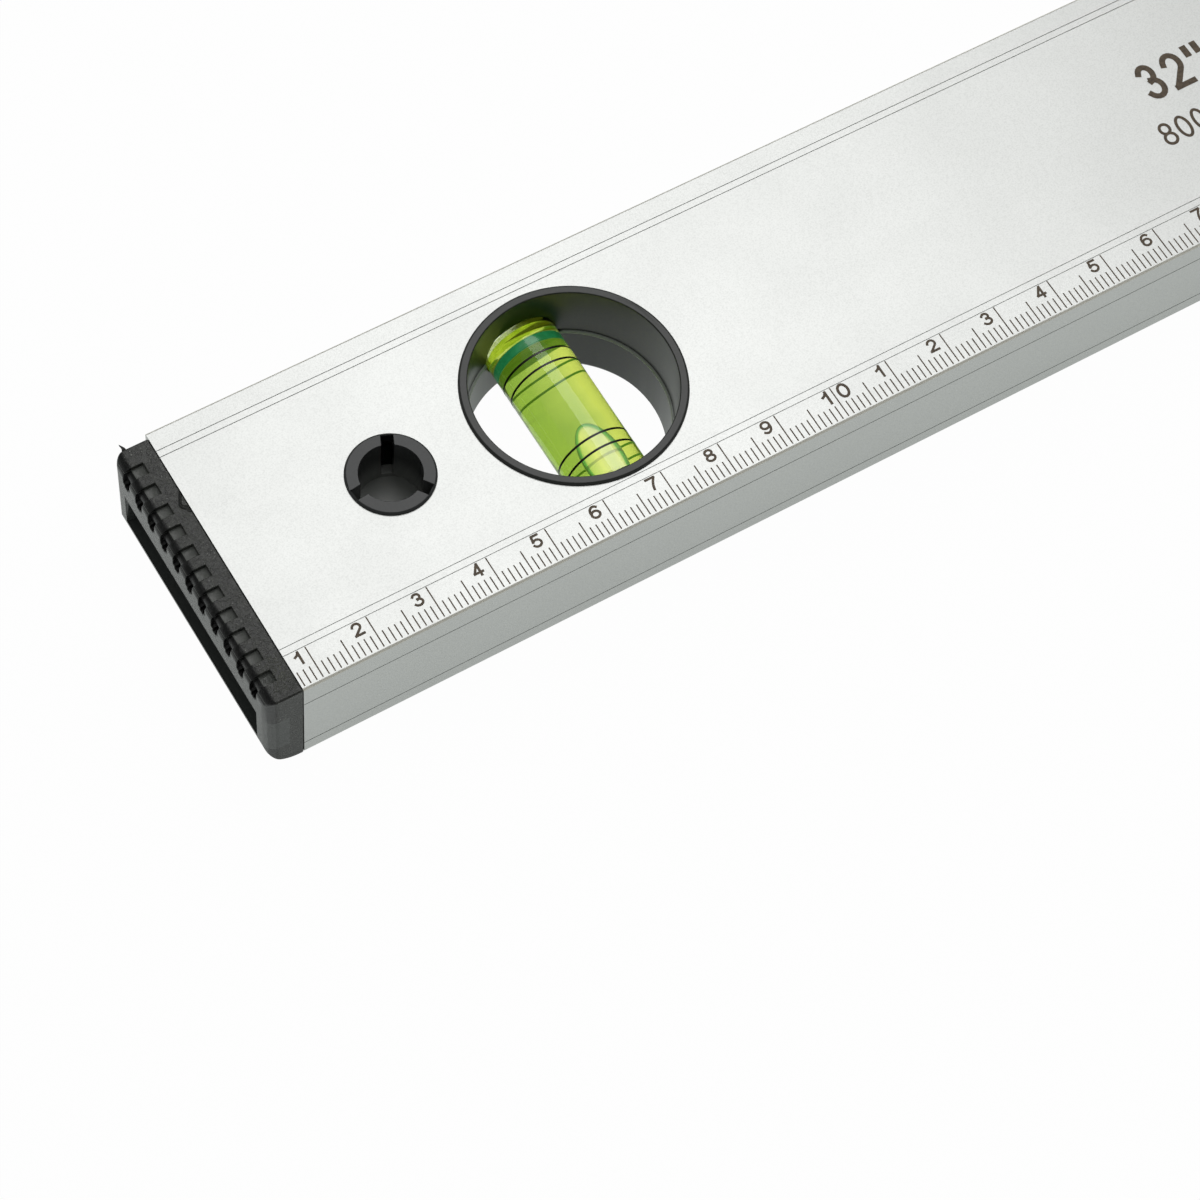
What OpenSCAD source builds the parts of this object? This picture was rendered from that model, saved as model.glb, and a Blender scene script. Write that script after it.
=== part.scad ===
// Magnetic box-section spirit level, lying on its rear face.
// +X runs along the level, +Y from the magnetic base edge to the top edge, +Z out of the
// printed face. The origin is under the middle of the level, on the surface it lies on.

/* [Profile] */
// Length of the whole level over its end caps
level_length = 800; // [600:10:1200]
// Height of the profile from the base edge to the top edge
profile_height = 48.4; // [47:0.2:60]
// Thickness of the profile from the rear face to the printed face
profile_thickness = 20.3; // [19:0.1:24]
// Thickness of the two large walls
face_wall = 1.3; // [1:0.1:2]
// Thickness of the base wall and the top wall
edge_wall = 2; // [1.6:0.1:2.6]
// Thickness of the two inner ribs
rib_thickness = 1.18; // [0.8:0.02:1.6]
// Distance from the base edge to the lower rib
base_rib_at = 6.13; // [5:0.01:7]
// Distance from the top edge to the upper rib
top_rib_at = 3.5; // [3:0.1:4.5]
// Rounding of the profile's long corners
corner_radius = 0.4; // [0.2:0.05:0.8]
// Width of the fine extruded lines
line_width = 0.2; // [0.2:0.05:0.6]
// Depth of the fine extruded lines
line_depth = 0.12; // [0.1:0.02:0.4]
// Distance from the printed face to the first line on the two edges
edge_line_front = 4.75; // [3.5:0.05:6]
// Distance from the rear face to the second line on the two edges
edge_line_rear = 3.02; // [2.5:0.02:5]

/* [End caps] */
// Thickness of the cap outside the profile
cap_length = 6; // [5:0.1:9]
// How far the cap stays below the profile's top edge
cap_top_setback = 0.9; // [0.1:0.1:1.5]
// Length of the cap's tongue inside the profile
cap_tongue = 14; // [8:1:25]
// Wall of the cap's tongue
cap_tongue_wall = 1.6; // [1.2:0.1:2.5]
// Number of cells in the cap's tongue
tongue_cells = 3; // [2:1:4]
// Rounding of the cap's edge at the printed face
cap_front_radius = 1.7; // [0.9:0.1:2]
// Rounding of the cap's edge at the rear face
cap_rear_radius = 5.5; // [3:0.1:5.8]
// Rounding of the cap's corners at the base edge and top edge
cap_corner_radius = 2; // [1:0.1:3]
// Number of grip notches along the cap's front edge
notch_count = 11; // [5:1:12]
// Distance between the middles of two notches
notch_pitch = 3.89; // [3.2:0.01:3.95]
// Width of a notch
notch_width = 2; // [1.4:0.1:2.4]
// Length of a notch on the printed side
notch_reach = 3.4; // [2:0.1:4.5]
// Length of a notch down the end face
notch_drop = 3; // [2:0.1:3.4]
// Depth of a notch
notch_depth = 0.7; // [0.3:0.05:0.7]
// Depth of the trough in the cap's end face
trough_depth = 3.5; // [2:0.1:3.9]
// Distance from the printed face to the trough
trough_from_face = 6.6; // [3.8:0.1:7]
// Height of the trough's rounded side
trough_round = 3; // [1:0.1:4]
// Depth of the trough where its rounded side ends
trough_round_depth = 1.3; // [0.5:0.1:1.8]
// Rim left between the trough's ends and the cap's sides
trough_rim = 3.4; // [3:0.1:6]

/* [Round windows] */
// Distance from the level's end to the middle of a round window
window_from_end = 65.96; // [55:0.02:90]
// Height of the round windows' middle above the base edge
window_height = 25.13; // [25:0.01:25.3]
// Outer radius of a bezel's flange
bezel_flange_radius = 17.44; // [17.3:0.02:17.7]
// Outer radius of a bezel's tube
bezel_tube_radius = 17; // [16.9:0.05:17.1]
// Inner radius of the front bezel
front_bezel_bore = 16; // [15.8:0.05:16.2]
// Inner radius of the rear bezel
rear_bezel_bore = 15.6; // [15.5:0.05:15.8]
// How far the bezels, frames and plugs stand proud of the faces
rim_height = 0.5; // [0.5:0.05:0.8]
// Rounding of a rim's outer edge
rim_rounding = 0.4; // [0.1:0.05:0.45]
// Angle of the right vial from the length of the level
slope_vial_angle = 45; // [30:5:60]
// How much a bezel's edge opens at the printed face
front_lead_in = 0.1; // [0.05:0.05:0.3]
// How much a bezel's edge opens at the rear face
rear_lead_in = 1; // [0.5:0.1:1.2]
// Depth over which the rear bezel's edge opens
rear_lead_depth = 1.9; // [1:0.1:3]

/* [Vials] */
// Outer radius of a vial
vial_radius = 6.17; // [5.8:0.01:6.3]
// Length of a round window's vial
vial_length = 31.1; // [30:0.1:31.1]
// Length of the centre vial
centre_vial_length = 46; // [44:0.5:48]
// Radius of the bore at the middle of a vial
vial_bore = 4.8; // [4.4:0.05:5]
// Radius of the arc that gives the bore its barrel shape
barrel_arc = 300; // [200:10:600]
// Chamfer round the ends of a vial
vial_chamfer = 0.3; // [0.2:0.05:0.5]
// Wall that closes the blind end of a vial
vial_blind_wall = 2.2; // [1.5:0.1:4]
// Length of the clear stopper at the open end
stopper_length = 2.5; // [2:0.1:3.5]
// Step from the barrel out to the stopper's bore
stopper_step = 0.1; // [0.05:0.05:0.3]
// Length of the green seal behind the stopper
seal_length = 1.5; // [1:0.1:2]
// Distance from the vial's middle to its inner reading lines
inner_ring_at = 7.1; // [6:0.1:8]
// Distance from the vial's middle to its outer reading lines
outer_ring_at = 9.4; // [8.5:0.1:10]
// Width of a reading line's groove
ring_width = 0.3; // [0.2:0.05:0.4]
// Depth of a reading line's groove
ring_depth = 0.08; // [0.05:0.01:0.12]
// Radius of a bubble
bubble_radius = 2.6; // [2:0.1:3]
// Length of a bubble
bubble_length = 8.4; // [7:0.1:11]
// Height of the bubble's middle below the highest part of the bore
bubble_depth = 1; // [0.6:0.1:1.4]
// Distance of the left bubble from its vial's middle, towards the base edge
left_bubble_shift = 8.7; // [0:0.1:8.8]

/* [Centre window] */
// Length of the centre frame's opening
frame_opening_length = 44; // [43:0.5:44.5]
// Height of the centre frame's opening
frame_opening_height = 23; // [21:0.5:23.5]
// Height of the centre frame's middle above the base edge
frame_height = 29.5; // [29:0.1:30]
// Wall of the centre frame
frame_wall = 1.4; // [1.2:0.1:1.6]
// Overlap of the centre frame's flange on the faces
frame_lap = 0.8; // [0.5:0.1:1]
// Rounding of the centre frame's opening
frame_corner = 2.5; // [2:0.1:2.8]
// Height of the centre vial's axis above the base edge
centre_vial_height = 33.6; // [33:0.1:34]
// Length of the reading slot in the top edge
top_slot_length = 34; // [24:1:40]
// Width of the reading slot in the top edge
top_slot_width = 9; // [6:0.5:10]

/* [Hang holes] */
// Distance from the level's end to the middle of a hang hole
hang_from_end = 34.3; // [30:0.1:36]
// Height of the hang holes above the base edge
hang_height = 24.88; // [20:0.02:30]
// Outer radius of a plug's ring
plug_ring_radius = 6.94; // [6.8:0.02:7.4]
// Radius of a plug's body
plug_body_radius = 6.4; // [6.2:0.05:6.6]
// Inner radius of a plug's cup
plug_cup_radius = 4.83; // [4.4:0.01:5.2]
// Depth of a plug's cup below the face
plug_cup_depth = 8.9; // [5:0.1:8.9]
// Thickness of a plug's floor
plug_floor = 1; // [0.6:0.1:1.2]
// Number of slots in a plug
plug_slots = 3; // [2:1:4]
// Width of a plug's slots
plug_slot_width = 1.9; // [1.2:0.1:2.4]
// Height of the slots' lower ends above the floor of the cup
plug_slot_rise = 0.9; // [0.3:0.1:2]
// Width of the thin edge that the slots leave round the ring
plug_slot_edge = 0.4; // [0.3:0.05:0.45]
// Direction of the first slot
plug_slot_angle = 66; // [0:1:119]

/* [Magnets] */
// Length of a magnet
magnet_length = 30; // [20:1:40]
// Width of a magnet
magnet_width = 12; // [8:0.5:14]
// How far a magnet lies below the base edge's surface
magnet_recess = 0.15; // [0.05:0.05:0.4]
// Distance from the level's middle to the inner magnets
inner_magnet_at = 70; // [50:5:80]
// Distance from the level's middle to the outer magnets
outer_magnet_at = 190; // [120:5:200]

/* [Hidden] */
$fn = 96;

// Clearances, each written once
press_gap = 0.05;    // round a pressed-in bezel, frame, plug or magnet
vial_gap = 0.08;     // between a vial and its seat
fill_gap = 0.02;     // between a vial and what fills it
tongue_gap = 0.15;   // between a cap's tongue and the profile
over = 1;            // how far a cutter runs past the surface it cuts

// Sections in Y and Z
half_height = profile_height / 2;
cap_height = profile_height - cap_top_setback;
cap_y = -cap_top_setback / 2;
half_length = level_length / 2;
rear_face = rim_height;
front_face = rear_face + profile_thickness;
mid_plane = (rear_face + front_face) / 2;
chamber_low = base_rib_at + rib_thickness;
chamber_high = profile_height - top_rib_at - rib_thickness;
profile_length = level_length - 2 * cap_length;

// Places along X and Y
window_x = half_length - window_from_end;
window_y = window_height - half_height;
hang_x = half_length - hang_from_end;
hang_y = hang_height - half_height;
frame_y = frame_height - half_height;
centre_vial_y = centre_vial_height - half_height;

// Radius of the plain bore that takes the seal and the stopper, a step wider than the barrel
stopper_bore = vial_bore + stopper_step;

// Inner lengths of a vial, measured from its middle along its axis
function bore_start(length) = -length / 2 + vial_blind_wall;
function bore_stop(length) = length / 2 - stopper_length - seal_length;

alu = [0.86, 0.87, 0.87];
black = [0.10, 0.10, 0.11];
grey_black = [0.16, 0.17, 0.18];
lime = [0.72, 0.85, 0.25, 0.6];
deep_green = [0.10, 0.42, 0.22];
steel = [0.35, 0.36, 0.38];

// A rectangle about the origin with round corners, made of true arcs
module round_rect(w, h, r) {
    square([w - 2 * r, h], center = true);
    square([w, h - 2 * r], center = true);
    for (x = [-1, 1], y = [-1, 1])
        translate([x * (w / 2 - r), y * (h / 2 - r)]) circle(r = r);
}

// A rectangle given by its lowest and highest corner
module span(low, high) {
    translate(low) square(high - low);
}

// Turns a drawing in Y and Z into a bar along X
module bar_along_x(from_x, length) {
    translate([from_x, 0, 0]) rotate([90, 0, 90]) linear_extrude(length) children();
}

// The extruded section: two large walls, thicker edges, two ribs and the fine lines
module profile_section() {
    inner_low = rear_face + face_wall;
    inner_high = front_face - face_wall;
    difference() {
        translate([0, mid_plane]) round_rect(profile_height, profile_thickness, corner_radius);
        span([edge_wall - half_height, inner_low], [base_rib_at - half_height, inner_high]);
        span([chamber_low - half_height, inner_low], [chamber_high - half_height, inner_high]);
        span([half_height - top_rib_at, inner_low], [half_height - edge_wall, inner_high]);
        profile_lines();
    }
}

// The fine lines stand over both sides of each rib, and twice along each edge
module profile_lines() {
    for (y = [base_rib_at, chamber_low, chamber_high, profile_height - top_rib_at]) {
        for (z = [rear_face, front_face])
            translate([y - half_height, z]) square([line_width, 2 * line_depth], center = true);
    }
    for (y = [-half_height, half_height]) {
        for (z = [front_face - edge_line_front, rear_face + edge_line_rear])
            translate([y, z]) square([2 * line_depth, line_width], center = true);
    }
}

// A straight cutter through both faces, drawn in X and Y
module through_faces(x, y) {
    translate([x, y, rear_face - over]) linear_extrude(profile_thickness + 2 * over) children();
}

module profile() {
    color(alu) difference() {
        bar_along_x(-profile_length / 2, profile_length) profile_section();
        for (side = [-1, 1]) {
            through_faces(side * window_x, window_y) circle(r = bezel_tube_radius + press_gap);
            through_faces(side * hang_x, hang_y) circle(r = plug_body_radius + press_gap);
        }
        through_faces(0, frame_y) frame_outline(frame_wall + press_gap);
        top_slot(profile_height);
        for (x = [-outer_magnet_at, -inner_magnet_at, inner_magnet_at, outer_magnet_at])
            magnet_pocket(x);
    }
}

// The cap's side view in X and Z, with the end face at X = 0, taken in by an inset
module cap_side_view(inset) {
    front_r = cap_front_radius - inset;
    rear_r = cap_rear_radius - inset;
    span([inset, rear_face + cap_rear_radius], [cap_length, front_face - cap_front_radius]);
    span([cap_front_radius, mid_plane], [cap_length, front_face - inset]);
    span([cap_rear_radius, rear_face + inset], [cap_length, mid_plane]);
    translate([cap_front_radius, front_face - cap_front_radius]) circle(r = front_r);
    translate([cap_rear_radius, rear_face + cap_rear_radius]) intersection() {
        circle(r = rear_r);
        span([-rear_r, -rear_r], [cap_length - cap_rear_radius, rear_r]);
    }
}

// Turns a drawing in X and Z into a bar along Y
module bar_along_y(from_y, length) {
    translate([0, from_y + length, 0]) rotate([90, 0, 0]) linear_extrude(length) children();
}

// The cap's outer body: its side view cut to the rounded plan view
module cap_body() {
    intersection() {
        bar_along_y(-half_height, cap_height) cap_side_view(0);
        linear_extrude(front_face + over) difference() {
            translate([profile_height / 2, cap_y])
                round_rect(profile_height, cap_height, cap_corner_radius);
            span([cap_length, -profile_height], [2 * profile_height, profile_height]);
        }
    }
}

// One grip notch: a shallow cut that follows the rounded front edge down the end face
module cap_notch() {
    bar_along_y(-notch_width / 2, notch_width) difference() {
        span([-over, front_face - notch_drop], [notch_reach, front_face + over]);
        cap_side_view(notch_depth);
    }
    translate([-over, -notch_width / 4, front_face - notch_drop - notch_depth])
        cube([over + 2 * notch_depth, notch_width / 2, 2 * notch_depth]);
}

// The trough in the end face: a rounded side under the notches and a straight rear side
module cap_trough() {
    length = cap_height - 2 * trough_rim;
    top_z = front_face - trough_from_face;
    low_z = rear_face + cap_rear_radius;
    rounded_side = [for (turn = [0 : 15 : 90])
        [trough_round_depth * (1 - cos(turn)), top_z - trough_round * sin(turn)]];
    straight_sides = [[trough_depth, top_z - trough_round], [trough_depth, low_z], [-over, low_z]];
    bar_along_y(cap_y - length / 2, length)
        polygon(concat([[-over, top_z]], rounded_side, straight_sides));
}

// The hollow tongue that grips the inside of the large chamber
module cap_tongue_ring() {
    low = [chamber_low + tongue_gap, rear_face + face_wall + tongue_gap];
    high = [chamber_high - tongue_gap, front_face - face_wall - tongue_gap];
    wall = [cap_tongue_wall, cap_tongue_wall];
    cell = [(high[0] - low[0] - cap_tongue_wall) / tongue_cells, 0];
    bar_along_x(cap_length - over, cap_tongue + over) translate([-half_height, 0]) difference() {
        span(low, high);
        for (k = [0 : tongue_cells - 1])
            span(low + wall + k * cell, [low[0], high[1] - cap_tongue_wall] + (k + 1) * cell);
    }
}

module end_cap() {
    color(black) difference() {
        union() {
            cap_body();
            cap_tongue_ring();
        }
        cap_trough();
        for (k = [0 : notch_count - 1])
            translate([0, cap_y + (k - (notch_count - 1) / 2) * notch_pitch, 0])
                cap_notch();
    }
}

module end_cap_left() {
    translate([-half_length, 0, 0]) end_cap();
}

module end_cap_right() {
    mirror([1, 0, 0]) translate([-half_length, 0, 0]) end_cap();
}

// Half section of a rim that stands on a face, with its outer edge rounded
module rim_section(inner, outer) {
    span([inner, 0], [outer - rim_rounding, rim_height]);
    span([inner, 0], [outer, rim_height - rim_rounding]);
    translate([outer - rim_rounding, rim_height - rim_rounding]) circle(r = rim_rounding);
}

// Half of a round window's lining: a tube with a flange, on the mid plane, looking up
module bezel(bore, lead_in, lead_depth) {
    face = profile_thickness / 2;
    top = face + rim_height;
    rotate_extrude() difference() {
        union() {
            span([bore, press_gap / 2], [bezel_tube_radius, face]);
            translate([0, face]) rim_section(bore, bezel_flange_radius);
        }
        polygon([
            [bore, top - lead_depth], [bore + lead_in, top], [bore + lead_in, top + over],
            [bore - over, top + over], [bore - over, top - lead_depth]
        ]);
    }
}

// Lays a vial's own axis along a direction in the plane of the level
module lay_vial(angle) {
    rotate([0, 0, angle]) rotate([0, 90, 0]) children();
}

module vial_seat(length, angle) {
    lay_vial(angle)
        cylinder(r = vial_radius + vial_gap, h = length + 2 * vial_gap, center = true);
}

// Places a round window's piece: side is -1 on the left and 1 on the right
module at_window(side) {
    translate([side * window_x, window_y, mid_plane]) children();
}

module bezel_front(side, angle) {
    color(black) at_window(side) difference() {
        bezel(front_bezel_bore, front_lead_in, 2 * front_lead_in);
        vial_seat(vial_length, angle);
    }
}

module bezel_rear(side, angle) {
    color(grey_black) at_window(side) difference() {
        mirror([0, 0, 1]) bezel(rear_bezel_bore, rear_lead_in, rear_lead_depth);
        vial_seat(vial_length, angle);
    }
}

// The barrel-shaped space inside a vial, as a half section, less a gap
module barrel_section(from_z, to_z, gap) {
    intersection() {
        translate([vial_bore - gap - barrel_arc, 0]) circle(r = barrel_arc, $fn = 720);
        span([0, from_z], [vial_radius, to_z]);
    }
}

// The clear tube: barrel bore, plain bore for the stopper, and grooves for the lines
module vial(length) {
    end = length / 2;
    rotate_extrude() difference() {
        polygon([
            [0, -end], [vial_radius - vial_chamfer, -end], [vial_radius, -end + vial_chamfer],
            [vial_radius, end - vial_chamfer], [vial_radius - vial_chamfer, end], [0, end]
        ]);
        barrel_section(bore_start(length), bore_stop(length) + over, 0);
        span([0, bore_stop(length)], [stopper_bore, end + over]);
        for (z = [-outer_ring_at, -inner_ring_at, inner_ring_at, outer_ring_at])
            translate([vial_radius, z]) square([2 * ring_depth, ring_width], center = true);
    }
}

module stopper(length) {
    top = length / 2 - vial_gap;
    step = stopper_length / 5;
    rotate_extrude() polygon([
        [0, bore_stop(length) + seal_length], [stopper_bore - fill_gap, bore_stop(length) + seal_length],
        [stopper_bore - fill_gap, top - step], [stopper_bore - step, top - step],
        [stopper_bore - step, top], [0, top]
    ]);
}

module seal(length) {
    translate([0, 0, bore_stop(length) + fill_gap])
        cylinder(r = stopper_bore - fill_gap, h = seal_length - 2 * fill_gap);
}

// The liquid fills the barrel but for the bubble, which lies along its upper side
module liquid(length, bubble_shift) {
    stretch = (bubble_length - 2 * bubble_radius) / 2;
    difference() {
        rotate_extrude()
            barrel_section(bore_start(length) + fill_gap, bore_stop(length), fill_gap);
        translate([bubble_depth - vial_bore, 0, bubble_shift]) {
            cylinder(r = bubble_radius, h = 2 * stretch, center = true);
            for (z = [-stretch, stretch]) translate([0, 0, z]) sphere(r = bubble_radius, $fn = 48);
        }
    }
}

// The centre window's outline, grown by a margin
module frame_outline(margin) {
    round_rect(frame_opening_length + 2 * margin, frame_opening_height + 2 * margin,
        frame_corner + margin);
}

// Half of the centre window's frame, on the mid plane, looking up
module frame_half() {
    top = profile_thickness / 2;
    difference() {
        union() {
            translate([0, 0, press_gap / 2]) linear_extrude(top) frame_outline(frame_wall);
            translate([0, 0, top]) linear_extrude(rim_height) frame_outline(frame_wall + frame_lap);
        }
        translate([0, 0, -over]) linear_extrude(top + rim_height + 2 * over) frame_outline(0);
    }
}

module at_centre() {
    translate([0, frame_y, mid_plane]) children();
}

module centre_seat() {
    translate([0, centre_vial_y - frame_y, 0]) vial_seat(centre_vial_length, 0);
}

// The slot through the top edge that shows the centre vial from above
module top_slot(reach) {
    translate([0, centre_vial_y + reach, mid_plane]) rotate([90, 0, 0])
        linear_extrude(reach) {
            square([top_slot_length - top_slot_width, top_slot_width], center = true);
            for (side = [-1, 1])
                translate([side * (top_slot_length - top_slot_width) / 2, 0])
                    circle(d = top_slot_width);
        }
}

module centre_frame_front() {
    color(black) difference() {
        at_centre() difference() {
            frame_half();
            centre_seat();
        }
        top_slot(profile_height);
    }
}

module centre_frame_rear() {
    color(grey_black) difference() {
        at_centre() difference() {
            mirror([0, 0, 1]) frame_half();
            centre_seat();
        }
        top_slot(profile_height);
    }
}

module at_centre_vial() {
    translate([0, centre_vial_y, mid_plane]) lay_vial(0) children();
}

// A hang hole's plug: a ringed cup split by slots, looking up
module plug() {
    face = profile_thickness / 2;
    bottom = face - plug_cup_depth - plug_floor;
    slot_bottom = face - plug_cup_depth + plug_slot_rise;
    slot_size = [plug_ring_radius - plug_slot_edge, plug_slot_width, plug_cup_depth + over];
    difference() {
        rotate_extrude() {
            span([0, bottom], [plug_body_radius, bottom + plug_floor]);
            span([plug_cup_radius, bottom], [plug_body_radius, face]);
            translate([0, face]) rim_section(plug_cup_radius, plug_ring_radius);
        }
        for (k = [0 : plug_slots - 1])
            rotate([0, 0, plug_slot_angle + 360 / plug_slots * k])
                translate([0, -plug_slot_width / 2, slot_bottom]) cube(slot_size);
    }
}

module plug_at(side, up) {
    color(grey_black) translate([side * hang_x, hang_y, mid_plane])
        mirror([0, 0, up > 0 ? 0 : 1]) plug();
}

// A pocket milled through the base wall, as deep as the lower rib
module magnet_pocket(x) {
    translate([x, base_rib_at / 2 - half_height - over / 2, mid_plane])
        cube([magnet_length + 2 * press_gap, base_rib_at + over, magnet_width + 2 * press_gap],
            center = true);
}

module magnet(x) {
    height = base_rib_at - magnet_recess - press_gap;
    color(steel) translate([x, magnet_recess + height / 2 - half_height, mid_plane])
        cube([magnet_length, height, magnet_width], center = true);
}

module left_vial_place() {
    at_window(-1) lay_vial(90) children();
}

module right_vial_place() {
    at_window(1) lay_vial(slope_vial_angle) children();
}

profile();
end_cap_left();
end_cap_right();
bezel_front(-1, 90);  // left_bezel_front
bezel_rear(-1, 90);  // left_bezel_rear
color(lime) left_vial_place() vial(vial_length);  // left_vial
color(lime) left_vial_place() stopper(vial_length);  // left_stopper
color(deep_green) left_vial_place() seal(vial_length);  // left_seal
color(lime) left_vial_place() liquid(vial_length, -left_bubble_shift);  // left_liquid
bezel_front(1, slope_vial_angle);  // right_bezel_front
bezel_rear(1, slope_vial_angle);  // right_bezel_rear
color(lime) right_vial_place() vial(vial_length);  // right_vial
color(lime) right_vial_place() stopper(vial_length);  // right_stopper
color(deep_green) right_vial_place() seal(vial_length);  // right_seal
color(lime) right_vial_place() liquid(vial_length, 0);  // right_liquid
centre_frame_front();
centre_frame_rear();
color(lime) at_centre_vial() vial(centre_vial_length);  // centre_vial
color(lime) at_centre_vial() stopper(centre_vial_length);  // centre_stopper
color(deep_green) at_centre_vial() seal(centre_vial_length);  // centre_seal
color(lime) at_centre_vial() liquid(centre_vial_length, 0);  // centre_liquid
plug_at(-1, 1);  // plug_left_front
plug_at(-1, -1);  // plug_left_rear
plug_at(1, 1);  // plug_right_front
plug_at(1, -1);  // plug_right_rear
magnet(-outer_magnet_at);  // magnet_1
magnet(-inner_magnet_at);  // magnet_2
magnet(inner_magnet_at);  // magnet_3
magnet(outer_magnet_at);  // magnet_4
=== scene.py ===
# %% [markdown]
# # A magnetic spirit level, dressed for its portrait
#
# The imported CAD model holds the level's true sizes: an aluminium box profile, black end caps,
# lined windows with clear vials, hang-hole plugs and four magnets. This lesson gives each of those
# pieces the surface of the real one, and adds what a solid modeller leaves out: the printed scale,
# the black reading lines on the vials, the liquid that is seen through them, and the studio.

# %% Load the frame
import math

import bmesh
import bpy
from mathutils import Matrix, Vector


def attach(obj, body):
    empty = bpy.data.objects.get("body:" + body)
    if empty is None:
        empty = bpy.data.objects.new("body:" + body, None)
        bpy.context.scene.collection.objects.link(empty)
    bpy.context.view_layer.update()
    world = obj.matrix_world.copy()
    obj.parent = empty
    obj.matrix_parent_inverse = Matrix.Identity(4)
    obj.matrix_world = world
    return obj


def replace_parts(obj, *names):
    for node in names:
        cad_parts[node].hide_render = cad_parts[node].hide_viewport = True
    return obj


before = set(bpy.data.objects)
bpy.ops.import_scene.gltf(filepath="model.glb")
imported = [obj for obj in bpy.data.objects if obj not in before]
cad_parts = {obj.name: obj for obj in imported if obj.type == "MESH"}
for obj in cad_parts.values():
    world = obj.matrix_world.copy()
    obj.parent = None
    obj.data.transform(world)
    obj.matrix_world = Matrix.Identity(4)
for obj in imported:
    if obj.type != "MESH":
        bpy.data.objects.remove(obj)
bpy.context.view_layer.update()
print("nodes:", len(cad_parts))

# %% [markdown]
# ## Sizes
#
# Everything below is thought of in millimetres, because a spirit level is drawn in millimetres,
# and turned to metres at the last moment. The printed scale starts half a millimetre outside the
# level's left end, so a place on the scale is turned to the model's X by one offset. Heights on
# the printed face are measured from the base edge, as on the real scale.

# %% Sizes in millimetres
MM = 0.001
HALF_LENGTH = 400
PROFILE_HEIGHT = 48.4
FRONT_FACE = 20.8
MID_PLANE = 10.65
SCALE_ZERO = -400.5


def on_face(scale_x, height):
    """The model's X and Y in mm of a point of the printed face."""
    return scale_x + SCALE_ZERO, height - PROFILE_HEIGHT / 2


left_window = on_face(66.46, 25.13)
right_window = (-left_window[0], left_window[1])
# The right hang hole's middle, and a radius that its wall lies within and the open face does not
HANG_HOLE = (HALF_LENGTH - 34.3, 24.88 - PROFILE_HEIGHT / 2)
HANG_HOLE_REACH = 6.7
print("left window at", left_window, "right window at", right_window)

# %% [markdown]
# ## The camera
#
# The photograph was taken from above the base edge, close to the left end, with a long lens. The
# direction and distance were worked out from the printed millimetres, which act as a ruler lying
# in the picture. They are written here as the camera's place and its three axes.

# %% Camera
camera = bpy.data.objects.new("camera", bpy.data.cameras.new("camera"))
bpy.context.scene.collection.objects.link(camera)
right = Vector((0.85524651, -0.51395966, 0.06632398))
up = Vector((0.42940313, 0.77448629, 0.4645255))
back = Vector((-0.29011438, -0.36880409, 0.88307259))
camera.matrix_world = Matrix.Translation(Vector((-503.225, -227.8, 489.024)) * MM) @ Matrix(
    (right, up, back)
).transposed().to_4x4()
camera.data.sensor_width = 36
camera.data.lens = 109.351
camera.data.clip_start = 0.01
camera.data.clip_end = 20
bpy.context.scene.camera = camera
print("camera at", [round(v, 3) for v in camera.location], "lens", camera.data.lens)

# %% [markdown]
# ## Helpers for materials
#
# Colours are picked as people see them on a screen, in sRGB hex, but the renderer counts light, so
# one function turns a hex value into linear numbers. One more function adds a shader node together
# with its settings and its links, which keeps each material short enough to read.

# %% Colour and node helpers


def colour(code):
    """Linear RGBA of an sRGB hex colour."""
    values = [int(code[i : i + 2], 16) / 255 for i in (1, 3, 5)]
    linear = [v / 12.92 if v <= 0.04045 else ((v + 0.055) / 1.055) ** 2.4 for v in values]
    return (*linear, 1.0)


def add(tree, kind, inputs, stops=(), **settings):
    """Adds a node. inputs gives each input, by name or number, a value or another node's output.
    stops are a colour ramp's stops in rising order, each a place and a grey or an RGBA colour."""
    made = tree.nodes.new(kind)
    for name, value in settings.items():
        setattr(made, name, value)
    for name, value in inputs.items():
        if isinstance(value, bpy.types.NodeSocket):
            tree.links.new(value, made.inputs[name])
        else:
            made.inputs[name].default_value = value
    for number, (place, tone) in enumerate(stops):
        line = made.color_ramp.elements
        stop = line[number] if number < len(line) else line.new(place)
        stop.position = place
        stop.color = tone if isinstance(tone, tuple) else (tone, tone, tone, 1)
    return made


def new_material(name):
    """An empty material and its node tree, ready for a surface."""
    made = bpy.data.materials.new(name)
    made.use_nodes = True
    made.node_tree.nodes.clear()
    return made, made.node_tree


def dress(node, material):
    """Gives a CAD node its real finish."""
    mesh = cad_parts[node].data
    mesh.materials.clear()
    mesh.materials.append(material)


print("helpers ready")

# %% [markdown]
# ## Anodised aluminium
#
# The profile is extruded, blasted with fine glass beads and clear anodised. Blasting leaves tiny
# dimples, so the metal shows no sharp reflection, only a broad satin sheen with a faint sparkle.
# A metal keeps the default IOR, and its colour is the colour of its reflection. The real dimples are
# 0.05 to 0.1 mm across, too fine to show at this distance, so they are drawn 0.24 mm across. Behind
# the plugs' slots the hang holes' wall is painted dark, as painted shade for the plugs' shadow.

# %% Anodised aluminium
# How far the painted highlight on the long corners reaches in from the side and down from the face, in mm
HIGHLIGHT_IN, HIGHLIGHT_DOWN = 0.3, 0.35
anodised, tree = new_material("anodised_aluminium")
here = add(tree, "ShaderNodeTexCoord", {}).outputs["Object"]
dimples = add(
    tree,
    "ShaderNodeTexNoise",
    {"Vector": here, "Scale": 1 / (0.24 * MM), "Detail": 2.0, "Roughness": 0.6},
)
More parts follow.
